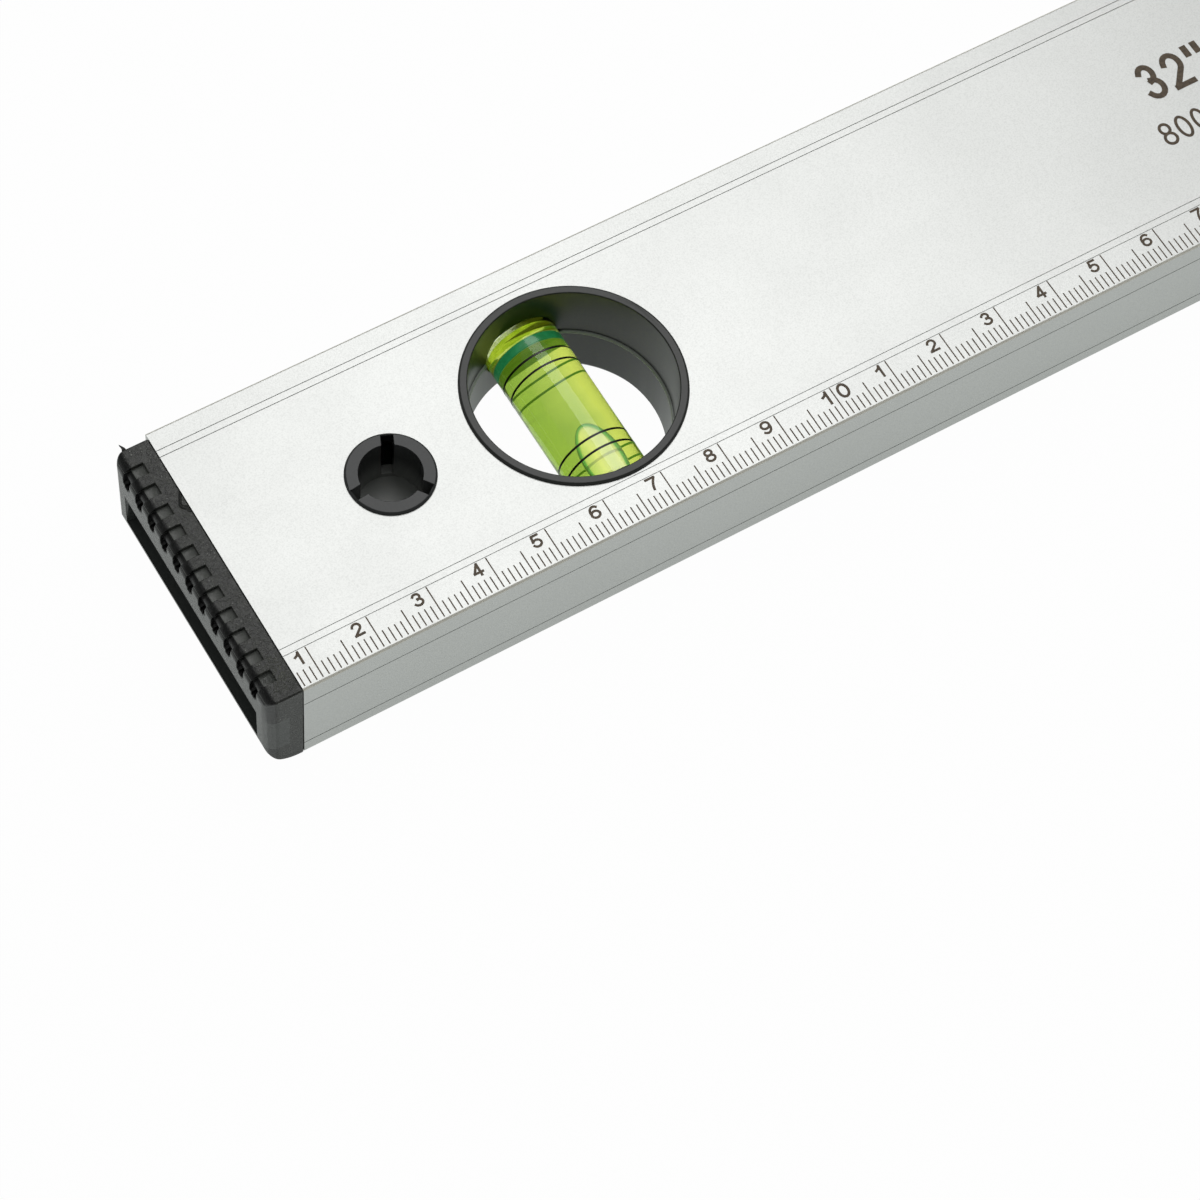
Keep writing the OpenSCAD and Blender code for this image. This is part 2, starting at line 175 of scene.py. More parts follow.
# The anodising varies a little from patch to patch, about 14 mm across.
patches = add(
    tree, "ShaderNodeTexNoise", {"Vector": here, "Scale": 1 / (14 * MM), "Detail": 3.0, "Roughness": 0.5}
)
speckle = add(
    tree,
    "ShaderNodeValToRGB",
    {"Fac": dimples.outputs["Fac"]},
    [(0.30, colour("#bfc0be")), (0.52, colour("#c9cac8")), (0.75, colour("#cdcecc"))],
)
cloud = add(tree, "ShaderNodeValToRGB", {"Fac": patches.outputs["Fac"]}, [(0.35, 0.392), (0.65, 0.408)])
grain = add(
    tree, "ShaderNodeBump", {"Height": dimples.outputs["Fac"], "Strength": 0.1, "Distance": 0.03 * MM}
)
# X is folded over, so that one mask serves the hang holes at both ends.
spot = add(tree, "ShaderNodeSeparateXYZ", {"Vector": here})
folded = add(tree, "ShaderNodeMath", {0: spot.outputs["X"]}, operation="ABSOLUTE")
flat_place = add(tree, "ShaderNodeCombineXYZ", {"X": folded.outputs[0], "Y": spot.outputs["Y"], "Z": 0.0})
hole_middle = Vector((HANG_HOLE[0], HANG_HOLE[1], 0)) * MM
from_hole = add(
    tree, "ShaderNodeVectorMath", {0: flat_place.outputs["Vector"], 1: hole_middle}, operation="DISTANCE"
)
in_hole = add(
    tree,
    "ShaderNodeMath",
    {0: from_hole.outputs["Value"], 1: HANG_HOLE_REACH * MM},
    operation="LESS_THAN",
)
# The hang holes' wall is painted nearly black: painted shade, for the plugs' shadow.
skin = add(
    tree,
    "ShaderNodeMix",
    {"Factor": in_hole.outputs[0], "A": speckle.outputs["Color"], "B": colour("#1a1a1a")},
    data_type="RGBA",
)
# Along its two long corners at the face the metal carries a painted highlight: a thin pale strip, in
# place of the light that a rounded edge catches. There its metallic share falls to a quarter.
off_middle = add(tree, "ShaderNodeMath", {0: spot.outputs["Y"]}, operation="ABSOLUTE")
at_edge = add(
    tree,
    "ShaderNodeMath",
    {0: off_middle.outputs[0], 1: (PROFILE_HEIGHT / 2 - HIGHLIGHT_IN) * MM},
    operation="GREATER_THAN",
)
at_face = add(
    tree,
    "ShaderNodeMath",
    {0: spot.outputs["Z"], 1: (FRONT_FACE - HIGHLIGHT_DOWN) * MM},
    operation="GREATER_THAN",
)
at_corner = add(
    tree, "ShaderNodeMath", {0: at_edge.outputs[0], 1: at_face.outputs[0]}, operation="MULTIPLY"
)
rub_and_highlight = add(
    tree,
    "ShaderNodeMix",
    {"Factor": at_corner.outputs[0], "A": skin.outputs["Result"], "B": colour("#e6e3d8")},
    data_type="RGBA",
)
shine = add(tree, "ShaderNodeMath", {0: at_corner.outputs[0], 1: -0.75, 2: 1.0}, operation="MULTIPLY_ADD")
shader = add(
    tree,
    "ShaderNodeBsdfPrincipled",
    {
        "Base Color": rub_and_highlight.outputs["Result"],
        "Metallic": shine.outputs[0],
        "Roughness": cloud.outputs["Color"],
        "Normal": grain.outputs["Normal"],
    },
)
add(tree, "ShaderNodeOutputMaterial", {"Surface": shader.outputs[0]})
dress("profile", anodised)
print("profile dressed in", anodised.name)

# %% [markdown]
# ## Eased edges
#
# A solid modeller leaves every edge of a moulding razor sharp, and a sharp edge catches no light. On
# the real mouldings each edge is rounded by a tenth of a millimetre or more, and shows as a thin
# bright or dark line. A bevel on a copy of the CAD mesh gives that line. The copy is first cleaned:
# doubled points are joined, and flat triangles are merged, so that only true edges are left.

# %% Copies with eased edges
# Points closer than JOIN mm are one point. Angles are in degrees: a bend under FLAT is a flat face,
# one over EDGE is a true edge, and shading breaks at SHARP.
JOIN, FLAT, EDGE, SHARP = 0.002, 0.5, 40, 50


def finish_mesh(name, mesh, material, sharp=35):
    """Links a mesh, smooths it up to an angle in degrees, gives it a material and lets it ride."""
    piece = bpy.data.objects.new(name, mesh)
    bpy.context.scene.collection.objects.link(piece)
    mesh.shade_smooth()
    mesh.set_sharp_from_angle(angle=math.radians(sharp))
    mesh.materials.append(material)
    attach(piece, "root")
    return piece


def eased(node, material, width, is_wide=None, wide=0.0):
    """Replaces a CAD node by a copy with its outer edges rounded: by width, in mm, or by wide
    where is_wide is true of the edge's middle."""
    made = bmesh.new()
    made.from_mesh(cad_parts[node].data)
    bmesh.ops.remove_doubles(made, verts=made.verts, dist=JOIN * MM)
    bmesh.ops.dissolve_limit(made, angle_limit=math.radians(FLAT), verts=made.verts, edges=made.edges)
    before = len(made.verts)
    for reach, chosen in ((wide, True), (width, False)):
        edges = [
            edge
            for edge in made.edges
            if edge.is_manifold
            and edge.is_convex
            and edge.calc_face_angle() > math.radians(EDGE)
            and bool(is_wide and is_wide((edge.verts[0].co + edge.verts[1].co) / 2 / MM)) == chosen
        ]
        if edges and reach:
            bmesh.ops.bevel(
                made,
                geom=edges,
                offset=reach * MM,
                segments=3 if chosen else 2,
                profile=0.5,
                affect="EDGES",
                clamp_overlap=False,
            )
    mesh = bpy.data.meshes.new(node + "_eased")
    made.to_mesh(mesh)
    made.free()
    piece = finish_mesh(node + "_eased", mesh, material, SHARP)
    flat = piece.modifiers.new("flat_faces", "WEIGHTED_NORMAL")
    flat.keep_sharp = True
    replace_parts(piece, node)
    print(piece.name, "points:", before, "then", len(mesh.vertices))


print("edges of", JOIN, "mm and", EDGE, "degrees are told apart")

# %% [markdown]
# ## Eroded black ABS
#
# The end caps are a tough black plastic, moulded in a steel tool with a spark-eroded finish: a fine
# grain that looks grey where light glances off it. ABS has an IOR near 1.5, and the grain scatters
# part of its gloss, which a slightly lower IOR stands for. The floors of the grip notches were
# polished in the tool, so they are smoother, and their paler colour is a painted highlight. The left
# cap has seen use: dust in the grain, swirls rubbed in near the base edge, whose pale threads are
# partly a painted highlight, a bruise at the joint and a chipped far corner. A mark of wear is a mask
# round a point of the cap, so that it stays on the plastic from every side.

# %% Marks of wear on the cap
# Each mark's middle on the left cap and its radius, in mm
WEAR = {
    "swirls": ((-395.8, -20.2, 20.8), 3.6),
    "bruise": ((-392.7, 11.2, 20.8), 3.0),
    "chip": ((-397.9, 22.2, 20.8), 1.5),
}
cap_plastic, tree = new_material("eroded_black_abs")
here = add(tree, "ShaderNodeTexCoord", {}).outputs["Object"]
# A coarse noise pushes the masks' edges about by up to RAGGED / 2.
RAGGED = 1.6
wobble = add(tree, "ShaderNodeTexNoise", {"Vector": here, "Scale": 1 / (1.5 * MM), "Detail": 2.0})
pushed = add(
    tree, "ShaderNodeVectorMath", {0: wobble.outputs["Color"], 1: (0.5, 0.5, 0.5)}, operation="SUBTRACT"
)
ragged = add(
    tree,
    "ShaderNodeVectorMath",
    {0: pushed.outputs["Vector"], 1: (RAGGED * MM, RAGGED * MM, 0), 2: here},
    operation="MULTIPLY_ADD",
)
near = {}
distance = {}
for mark, (middle, radius) in WEAR.items():
    ends = {0: ragged.outputs["Vector"], 1: Vector(middle) * MM}
    away = add(tree, "ShaderNodeVectorMath", ends, operation="DISTANCE")
    distance[mark] = add(
        tree, "ShaderNodeMath", {0: away.outputs["Value"], 1: radius * MM}, operation="DIVIDE"
    )
    near[mark] = add(
        tree, "ShaderNodeValToRGB", {"Fac": distance[mark].outputs[0]}, [(0.55, 1.0), (0.98, 0.0)]
    )
print("marks of wear:", list(WEAR))

# %% [markdown]
# The grain, the swirls and the dust could be a photograph of worn plastic. Patterns worked out from
# sizes in millimetres do as well, and stay sharp from close by.

# %% Cap grain, swirls and dust
# The eroded grain is about 0.1 mm and is drawn at 0.35 mm so that it shows.
grain = add(
    tree,
    "ShaderNodeTexNoise",
    {"Vector": here, "Scale": 1 / (0.35 * MM), "Detail": 4.0, "Roughness": 0.75},
)
tone = add(
    tree,
    "ShaderNodeValToRGB",
    {"Fac": grain.outputs["Fac"]},
    [(0.42, colour("#101110")), (0.64, colour("#3c3e38"))],
)
# Swirls: bent scratches a little over 1 mm apart, where the cap slid on a bench. Their pale threads are
# partly a painted highlight, for the glints of the scratches.
swirl = add(
    tree,
    "ShaderNodeTexNoise",
    {"Vector": here, "Scale": 1 / (1.3 * MM), "Detail": 3.0, "Roughness": 0.6, "Distortion": 2.2},
)
thread = add(
    tree, "ShaderNodeValToRGB", {"Fac": swirl.outputs["Fac"]}, [(0.46, 0.0), (0.5, 0.9), (0.54, 0.0)]
)
rub_and_highlight = add(
    tree,
    "ShaderNodeMath",
    {0: near["swirls"].outputs["Color"], 1: 0.85, 2: 0.15},
    operation="MULTIPLY_ADD",
)
rub = add(
    tree, "ShaderNodeMath", {0: thread.outputs["Color"], 1: rub_and_highlight.outputs[0]}, operation="MULTIPLY"
)
# The swirls' pale colour is partly a painted highlight.
rubbed_tone = add(
    tree,
    "ShaderNodeMix",
    {"Factor": rub.outputs[0], "A": tone.outputs["Color"], "B": colour("#83847b")},
    data_type="RGBA",
)
# Dust: specks about 0.2 mm across in patches of a few millimetres, and thick in the chip.
dots = add(tree, "ShaderNodeTexVoronoi", {"Vector": here, "Scale": 1 / (0.5 * MM), "Randomness": 1.0})
speck = add(tree, "ShaderNodeValToRGB", {"Fac": dots.outputs["Distance"]}, [(0.12, 1.0), (0.24, 0.0)])
patch = add(tree, "ShaderNodeTexNoise", {"Vector": here, "Scale": 1 / (3 * MM), "Detail": 2.0})
some = add(tree, "ShaderNodeValToRGB", {"Fac": patch.outputs["Fac"]}, [(0.45, 0.05), (0.66, 0.55)])
more = add(
    tree,
    "ShaderNodeMath",
    {0: some.outputs["Color"], 1: near["chip"].outputs["Color"]},
    operation="MAXIMUM",
)
dust = add(tree, "ShaderNodeMath", {0: speck.outputs["Color"], 1: more.outputs[0]}, operation="MULTIPLY")
dust_and_light = add(
    tree,
    "ShaderNodeMix",
    {"Factor": dust.outputs[0], "A": rubbed_tone.outputs["Result"], "B": colour("#a4a69f")},
    data_type="RGBA",
)
# The bruise is a crescent of two pressed lines round a knock on the joint.
crescent = add(
    tree,
    "ShaderNodeValToRGB",
    {"Fac": distance["bruise"].outputs[0]},
    [(0.6, 0.0), (0.66, 1.0), (0.72, 0.1), (0.8, 1.0), (0.88, 0.0)],
)
bruised = add(
    tree,
    "ShaderNodeMix",
    {"Factor": crescent.outputs["Color"], "A": dust_and_light.outputs["Result"], "B": colour("#070807")},
    data_type="RGBA",
)
print("grain, swirls and dust laid over each other")

# %% [markdown]
# Some places of a cap differ from the rest of it: its rounded end, its trough, its notch floors and
# its base side. Each is picked out by where it lies. The places are folded over to the positive
# side, so that one mask serves both caps.

# %% Cap places and finish
# In mm: the depth of the end's rounding, the base side, and the trough's middle and half its size,
# in depth and in height
ROUNDING, BASE_SIDE = 2, 24.1
TROUGH_DEPTH, TROUGH_HEIGHT = (398.1, 1.75), (10.1, 4.2)
NOTCH_FLOOR = FRONT_FACE - 0.7
# The rounding towards the end face is painted nearly black: painted shade, for the dark room that it
# reflects.
fold = add(tree, "ShaderNodeVectorMath", {0: here}, operation="ABSOLUTE")
spot = add(tree, "ShaderNodeSeparateXYZ", {"Vector": fold.outputs["Vector"]})
rounding = {
    "Value": spot.outputs["X"],
    "From Min": (HALF_LENGTH - ROUNDING) * MM,
    "From Max": HALF_LENGTH * MM,
}
past = add(tree, "ShaderNodeMapRange", rounding)
beyond = add(
    tree,
    "ShaderNodeValToRGB",
    {"Fac": past.outputs["Result"]},
    [(0.1, 0.0), (0.35, 1.0), (0.9, 1.0), (0.97, 0.0)],
)
shaded_rounding = add(
    tree,
    "ShaderNodeMix",
    {"Factor": beyond.outputs["Color"], "A": bruised.outputs["Result"], "B": colour("#0a0b0a")},
    data_type="RGBA",
)
# The trough is painted a lighter grey: painted light on its walls. A box of the cap's own places picks it
# out.
in_depth = add(
    tree,
    "ShaderNodeMath",
    {0: spot.outputs["X"], 1: TROUGH_DEPTH[0] * MM, 2: TROUGH_DEPTH[1] * MM},
    operation="COMPARE",
)
in_height = add(
    tree,
    "ShaderNodeMath",
    {0: spot.outputs["Z"], 1: TROUGH_HEIGHT[0] * MM, 2: TROUGH_HEIGHT[1] * MM},
    operation="COMPARE",
)
in_trough = add(
    tree, "ShaderNodeMath", {0: in_depth.outputs[0], 1: in_height.outputs[0]}, operation="MULTIPLY"
)
troughed = add(
    tree,
    "ShaderNodeMix",
    {"Factor": in_trough.outputs[0], "A": shaded_rounding.outputs["Result"], "B": colour("#4a4d4b")},
    data_type="RGBA",
)
# The polished notch floors all lie at one height. Their roughness is lower by 0.1, and their paler colour
# is a painted highlight.
on_floor = add(
    tree, "ShaderNodeMath", {0: spot.outputs["Z"], 1: NOTCH_FLOOR * MM, 2: 0.03 * MM}, operation="COMPARE"
)
skin = add(
    tree,
    "ShaderNodeMix",
    {"Factor": on_floor.outputs[0], "A": troughed.outputs["Result"], "B": colour("#5f615d")},
    data_type="RGBA",
)
gloss = add(tree, "ShaderNodeMath", {0: on_floor.outputs[0], 1: -0.1, 2: 0.24}, operation="MULTIPLY_ADD")
# The base side's gloss is turned down: painted shade, for the shadowed floor that it reflects.
on_base = add(tree, "ShaderNodeMath", {0: spot.outputs["Y"], 1: BASE_SIDE * MM}, operation="GREATER_THAN")
sheen = add(tree, "ShaderNodeMath", {0: on_base.outputs[0], 1: -0.22, 2: 0.5}, operation="MULTIPLY_ADD")
# The swirls and the bruise are pressed into the grain.
scratched = add(
    tree,
    "ShaderNodeMath",
    {0: rub.outputs[0], 1: -2.0, 2: grain.outputs["Fac"]},
    operation="MULTIPLY_ADD",
)
hollow = add(
    tree,
    "ShaderNodeMath",
    {0: crescent.outputs["Color"], 1: -3.0, 2: scratched.outputs[0]},
    operation="MULTIPLY_ADD",
)
bump = add(tree, "ShaderNodeBump", {"Height": hollow.outputs[0], "Strength": 0.75, "Distance": 0.05 * MM})
shader = add(
    tree,
    "ShaderNodeBsdfPrincipled",
    {
        "Base Color": skin.outputs["Result"],
        "Roughness": gloss.outputs[0],
        "IOR": 1.42,
        "Specular IOR Level": sheen.outputs[0],
        "Normal": bump.outputs["Normal"],
    },
)
add(tree, "ShaderNodeOutputMaterial", {"Surface": shader.outputs[0]})
print("cap plastic ready:", cap_plastic.name)

# %% [markdown]
# A cap's long outer edges, and its edge at the joint, are rounded three times as much as its other
# edges. They catch a line of light that can be seen from a distance.

# %% Caps with eased edges
# The middle of the caps' height on the face, how far out their side edges start, the height that
# only the front edges lie above, and the joint with the profile
CAP_MIDDLE, SIDE_FROM, FRONT_FROM, JOINT = -0.45, 21.4, 12, 394


def on_cap_rim(point):
    """True on the cap's long outer edges and at its joint, which are rounded more than the rest."""
    side = point.z > FRONT_FROM and abs(point.y - CAP_MIDDLE) > SIDE_FROM
    joint = abs(abs(point.x) - JOINT) < 0.05
    return side or joint


for node in ("end_cap_left", "end_cap_right"):
    eased(node, cap_plastic, 0.1, on_cap_rim, 0.3)

# %% [markdown]
# The chipped corner has a burr: a sliver of plastic pushed up by the blow. It is a bent blade with
# four sides that narrows to its tip. It starts inside the cap, so that no gap shows at its root.

# %% Burr on the left cap
BURR_ROOT = Vector((-398.1, 23.0, 20.4))
BURR_TIP = Vector((-398.35, 24.08, 21.0))
BURR_BEND = 0.25
BURR_WIDTH, BURR_TIP_WIDTH = 0.42, 0.03
BURR_STEPS = 4
burr_side = Vector((0, 0.1, 0.16))
made = bmesh.new()
rings = []
for step in range(BURR_STEPS + 1):
    part = step / BURR_STEPS
    middle = BURR_ROOT.lerp(BURR_TIP, part) + Vector((BURR_BEND * math.sin(math.pi * part), 0, 0))
    blade = Vector((BURR_WIDTH * (1 - part) ** 0.8 + BURR_TIP_WIDTH, 0, 0))
    corners = (blade, burr_side, -blade, -burr_side)
    rings.append([made.verts.new((middle + corner) * MM) for corner in corners])
for lower, upper in zip(rings, rings[1:]):
    for k in range(4):
        made.faces.new((lower[k], lower[(k + 1) % 4], upper[(k + 1) % 4], upper[k]))
made.faces.new(rings[0][::-1])
made.faces.new(rings[-1])
bmesh.ops.recalc_face_normals(made, faces=made.faces)
mesh = bpy.data.meshes.new("cap_burr")
made.to_mesh(mesh)
made.free()
burr = finish_mesh("cap_burr", mesh, cap_plastic)
print("burr faces:", len(mesh.polygons))

# %% [markdown]
# ## Satin black ABS
#
# The linings and plugs are a smoother black, from a tool that was only stoned. They reflect the room
# softly, so their base colour is nearly black and their sheen does the rest. The grain is drawn at
# half a millimetre. Low in the plugs' cups the plastic is painted paler, as painted light, and the
# step between the two halves of a lining has a thin painted highlight.

# %% Lining and plug plastic
# In mm: the grain, how far the painted light in the cups fades out, and half the height of the painted
# highlight at the step
GRAIN, LIGHT_FADE, PALE_REACH = 0.5, 6.0, 0.17


def moulded_plastic(name, base, light, roughness, light_top=None, pale_step=None):
    """A satin plastic. Below the height light_top, in mm, it is painted paler, as painted light, which
    fades out above.
    At the height pale_step a thin rim is painted pale, as a painted highlight."""
    made, tree = new_material(name)
    here = add(tree, "ShaderNodeTexCoord", {}).outputs["Object"]
    grain = add(
        tree,
        "ShaderNodeTexNoise",
        {"Vector": here, "Scale": 1 / (GRAIN * MM), "Detail": 3.0, "Roughness": 0.65},
    )
    tone = add(
        tree,
        "ShaderNodeValToRGB",
        {"Fac": grain.outputs["Fac"]},
        [(0.35, colour(base)), (0.72, colour(light))],
    )
    skin = tone.outputs["Color"]
    if light_top:
        height = add(tree, "ShaderNodeSeparateXYZ", {"Vector": here})
        pooled_light = add(
            tree,
            "ShaderNodeMapRange",
            {
                "Value": height.outputs["Z"],
                "From Min": light_top * MM,
                "From Max": (light_top + LIGHT_FADE) * MM,
                "To Min": 1.0,
                "To Max": 0.0,
            },
            interpolation_type="SMOOTHSTEP",
        )
        # The paler colour low in the cups is painted light.
        dust_and_light = add(
            tree,
            "ShaderNodeMix",
            {"Factor": pooled_light.outputs[0], "A": skin, "B": colour("#929491")},
            data_type="RGBA",
        )
        skin = dust_and_light.outputs["Result"]
    if pale_step:
        height = add(tree, "ShaderNodeSeparateXYZ", {"Vector": here})
        on_rim = add(
            tree,
            "ShaderNodeMath",
            {0: height.outputs["Z"], 1: pale_step * MM, 2: PALE_REACH * MM},
            operation="COMPARE",
        )
        # The pale rim at the step is a painted highlight.
        paler = add(
            tree,
            "ShaderNodeMix",
            {"Factor": on_rim.outputs[0], "A": skin, "B": colour("#c4c9c5")},
            data_type="RGBA",
        )
        skin = paler.outputs["Result"]
    bump = add(
        tree, "ShaderNodeBump", {"Height": grain.outputs["Fac"], "Strength": 0.08, "Distance": 0.05 * MM}
    )
    shader = add(
        tree,
        "ShaderNodeBsdfPrincipled",
        {"Base Color": skin, "Roughness": roughness, "IOR": 1.5, "Normal": bump.outputs["Normal"]},
    )
    add(tree, "ShaderNodeOutputMaterial", {"Surface": shader.outputs[0]})
    return made


def on_step(point):
    """True at the mid plane, where the narrower rear lining shows a rounded step."""
    return abs(point.z - MID_PLANE) < 0.1


PLUG_FLOOR = FRONT_FACE - 8.9
PALE_STEP = MID_PLANE - PALE_REACH
bezel_plastic = {
    "front": moulded_plastic("satin_black_abs", "#1e201d", "#272925", 0.3),
    "rear": moulded_plastic("satin_grey_abs", "#151b1b", "#1d2524", 0.3, pale_step=PALE_STEP),
}
plug_plastic = moulded_plastic("smooth_black_abs", "#232525", "#2b2d2d", 0.32, light_top=PLUG_FLOOR + 0.1)
# At the mid plane the rear half's edge is rounded, and the front half's stays sharp.
step_rounding = {"front": 0.0, "rear": 0.3}
for side in ("left", "right"):
    for half in ("front", "rear"):
        lining = side + "_bezel_" + half
        eased(lining, bezel_plastic[half], 0.1, on_step, step_rounding[half])
        eased("plug_" + side + "_" + half, plug_plastic, 0.08)
for half in ("front", "rear"):
    eased("centre_frame_" + half, bezel_plastic[half], 0.1)
print("plastics:", [made.name for made in (cap_plastic, *bezel_plastic.values(), plug_plastic)])

# %% [markdown]
# ## Nickel-plated magnets
#
# The magnets are ground ferrite or iron blocks with a dull nickel skin. They lie just under the
# base edge, so only their faces show: a grey metal with faint grinding marks along their length.
# The real marks are about 0.1 mm apart and are drawn at 0.4 mm so that they show.

# %% Magnets
nickel, tree = new_material("dull_nickel_plate")
here = add(tree, "ShaderNodeTexCoord", {}).outputs["Object"]
# The pattern is stretched 25 times along X.
along = add(tree, "ShaderNodeMapping", {"Vector": here, "Scale": (0.04, 1.0, 1.0)})
marks = add(
    tree,
    "ShaderNodeTexNoise",
    {"Vector": along.outputs["Vector"], "Scale": 1 / (0.4 * MM), "Detail": 3.0},
)
tone = add(
    tree,
    "ShaderNodeValToRGB",
    {"Fac": marks.outputs["Fac"]},
    [(0.3, colour("#8f8f90")), (0.7, colour("#b3b2b0"))],
)
bump = add(
    tree, "ShaderNodeBump", {"Height": marks.outputs["Fac"], "Strength": 0.15, "Distance": 0.03 * MM}
)
shader = add(
    tree,
    "ShaderNodeBsdfPrincipled",
    {
        "Base Color": tone.outputs["Color"],
        "Metallic": 1.0,
        "Roughness": 0.38,
        "Normal": bump.outputs["Normal"],
    },
)
add(tree, "ShaderNodeOutputMaterial", {"Surface": shader.outputs[0]})
for number in range(1, 5):
    dress("magnet_%d" % number, nickel)
print("magnets dressed in", nickel.name)

# %% [markdown]
# ## The vials
#
# A vial is a clear acrylic tube, closed at one end by its own floor and at the other by a clear
# stopper over a green seal. Light crosses three borders: air to acrylic, acrylic to liquid, and
# liquid to the air of the bubble. Modelled as the CAD solids, with thin gaps between them, each gap
# would act as a mirror. So each border is made once. The acrylic is a solid block in the outer shape
# of the tube. The liquid's skin faces inwards, as the inner wall of that block does, with the ratio
# of the two indices, 1.49 to 1.36. The bubble's skin faces inwards too.

# %% Turned shapes
AROUND = 96


def turned(name, outline, centre, axis, material):
    """A piece turned about an axis. outline is (place along the axis, radius) in mm."""
    made = bmesh.new()
    side = axis.orthogonal().normalized()
    other = axis.cross(side)
    rings = []
    for along, radius in outline:
        middle = centre + axis * along
        if radius < 1e-6:
            rings.append([made.verts.new(middle * MM)])
            continue
        ring = []
        for k in range(AROUND):
            turn = 2 * math.pi * k / AROUND
            out = side * math.cos(turn) + other * math.sin(turn)
            ring.append(made.verts.new((middle + out * radius) * MM))
        rings.append(ring)
    for low, high in zip(rings, rings[1:]):
        for k in range(AROUND):
            n = (k + 1) % AROUND
            if len(low) == 1 and len(high) == 1:
                break
            if len(low) == 1:
                made.faces.new((low[0], high[n], high[k]))
            elif len(high) == 1:
                made.faces.new((low[k], low[n], high[0]))
            else:
                made.faces.new((low[k], low[n], high[n], high[k]))
    bmesh.ops.recalc_face_normals(made, faces=made.faces)
    mesh = bpy.data.meshes.new(name)
    made.to_mesh(mesh)
    made.free()
    return finish_mesh(name, mesh, material)


def rounded(low, high, radius, edge, steps=4):
    """An outline of a closed pin from low to high with its rims rounded by edge."""
    turns = [math.pi / 2 * k / steps for k in range(steps + 1)]
    rim = [(low, 0.0)]
    for t in turns:
        rim.append((low + edge * (1 - math.cos(t)), radius - edge * (1 - math.sin(t))))
    return rim + [(low + high - along, reach) for along, reach in reversed(rim)]


print("lathe ready, with", AROUND, "sides")

# %% [markdown]
# The tube is cast acrylic with an IOR of 1.49. It is polished, and its wall has the faint
# green-yellow cast that the dye gives to it. A glass shader could do this too. The principled one
# is used for every piece, because the exported model keeps its values.

# %% Vial acrylic
acrylic, tree = new_material("clear_acrylic")
clear = {"Base Color": colour("#eef5dc"), "Roughness": 0.02, "IOR": 1.49, "Transmission Weight": 1.0}
shader = add(tree, "ShaderNodeBsdfPrincipled", clear)
add(tree, "ShaderNodeOutputMaterial", {"Surface": shader.outputs[0]})

print("vial tube:", acrylic.name)

# %% [markdown]
# The liquid is a spirit with a fluorescent lime dye. It could be filled with an absorbing volume. A
# tinted skin is simpler, and lets the tint change from place to place. Its right side is painted
# paler, as painted light where more light comes through, and it has a painted glow that brightens it.

# %% Vial liquid
dyed_liquid, tree = new_material("lime_dyed_liquid")
place = add(tree, "ShaderNodeTexCoord", {})
swirl = add(
    tree, "ShaderNodeTexNoise", {"Vector": place.outputs["Object"], "Scale": 1 / (5 * MM), "Detail": 1.0}
)
# Generated runs from 0 to 1 over the fill, so its X crosses the vial that stands upright.
across = add(tree, "ShaderNodeSeparateXYZ", {"Vector": place.outputs["Generated"]})
mixed = add(
    tree,
    "ShaderNodeMath",
    {0: swirl.outputs["Fac"], 1: 0.35, 2: across.outputs["X"]},
    operation="MULTIPLY_ADD",
)
# The ramp's paler right end is painted light.
dye = add(
    tree,
    "ShaderNodeValToRGB",
    {"Fac": mixed.outputs[0]},
    [
        (0.12, colour("#88a646")),
        (0.45, colour("#96af4c")),
        (0.75, colour("#9cb45c")),
        (1.0, colour("#dde076")),
    ],
)
# The emission is a painted glow.
shader = add(
    tree,
    "ShaderNodeBsdfPrincipled",
    {
        "Base Color": dye.outputs["Color"],
        "Roughness": 0.0,
        "IOR": 1.49 / 1.36,
        "Transmission Weight": 1.0,
        "Emission Color": colour("#b0c838"),
        "Emission Strength": 0.09,
    },
)
add(tree, "ShaderNodeOutputMaterial", {"Surface": shader.outputs[0]})

print("vial liquid:", dyed_liquid.name)

# %% [markdown]
# The bubble is the border from the liquid to air. The real step, from 1.36 to 1, would turn most of
# it into a dark mirror of the window's walls, and the photographed bubble is clear with a thin teal
# outline, as light from all round fills it. A smaller step gives that look, and a little light of
# its own stands for the light that the curved air gathers. That light is pinkish, because the dye
# that it passes takes out red and blue.

# %% Bubble
bubble_air, tree = new_material("bubble_air")
place = add(tree, "ShaderNodeTexCoord", {})
facing = add(tree, "ShaderNodeLayerWeight", {"Blend": 0.5})
# The teal outline is a painted reflection: the skin turns teal where it is seen edge-on.
rim = add(
    tree,
    "ShaderNodeValToRGB",
    {"Fac": facing.outputs["Facing"]},
    [
        (0.0, colour("#dedbd6")),
        (0.3, colour("#d6d6ca")),
        (0.44, colour("#2f9c74")),
        (1.0, colour("#14684a")),
    ],
)
across = add(tree, "ShaderNodeSeparateXYZ", {"Vector": place.outputs["Generated"]})
gathered = add(
    tree,
    "ShaderNodeValToRGB",
    {"Fac": across.outputs["X"]},
    [
        (0.05, colour("#769c49")),
        (0.25, colour("#ffe7bc")),
        (0.5, colour("#d0bce6")),
        (1.0, colour("#cdc4cd")),
    ],
)
# The outline itself gives little light, so it stays teal.
glow = add(tree, "ShaderNodeValToRGB", {"Fac": facing.outputs["Facing"]}, [(0.3, 0.58), (0.44, 0.1)])
shader = add(
    tree,
    "ShaderNodeBsdfPrincipled",
    {
        "Base Color": rim.outputs["Color"],
        "Roughness": 0.0,
        "IOR": 1.16,
        "Transmission Weight": 1.0,
        "Emission Color": gathered.outputs["Color"],
        "Emission Strength": glow.outputs["Color"],
    },
)
add(tree, "ShaderNodeOutputMaterial", {"Surface": shader.outputs[0]})

print("bubble:", bubble_air.name)

# %% [markdown]
# Behind the liquid lie a soft emerald seal, which light shines through a little, and the stopper.
# The stopper is glued in, and the uneven glue shows as pale lumps about 1 mm across. Its index is
# close to the acrylic's round it, so the border between them bends light by very little.

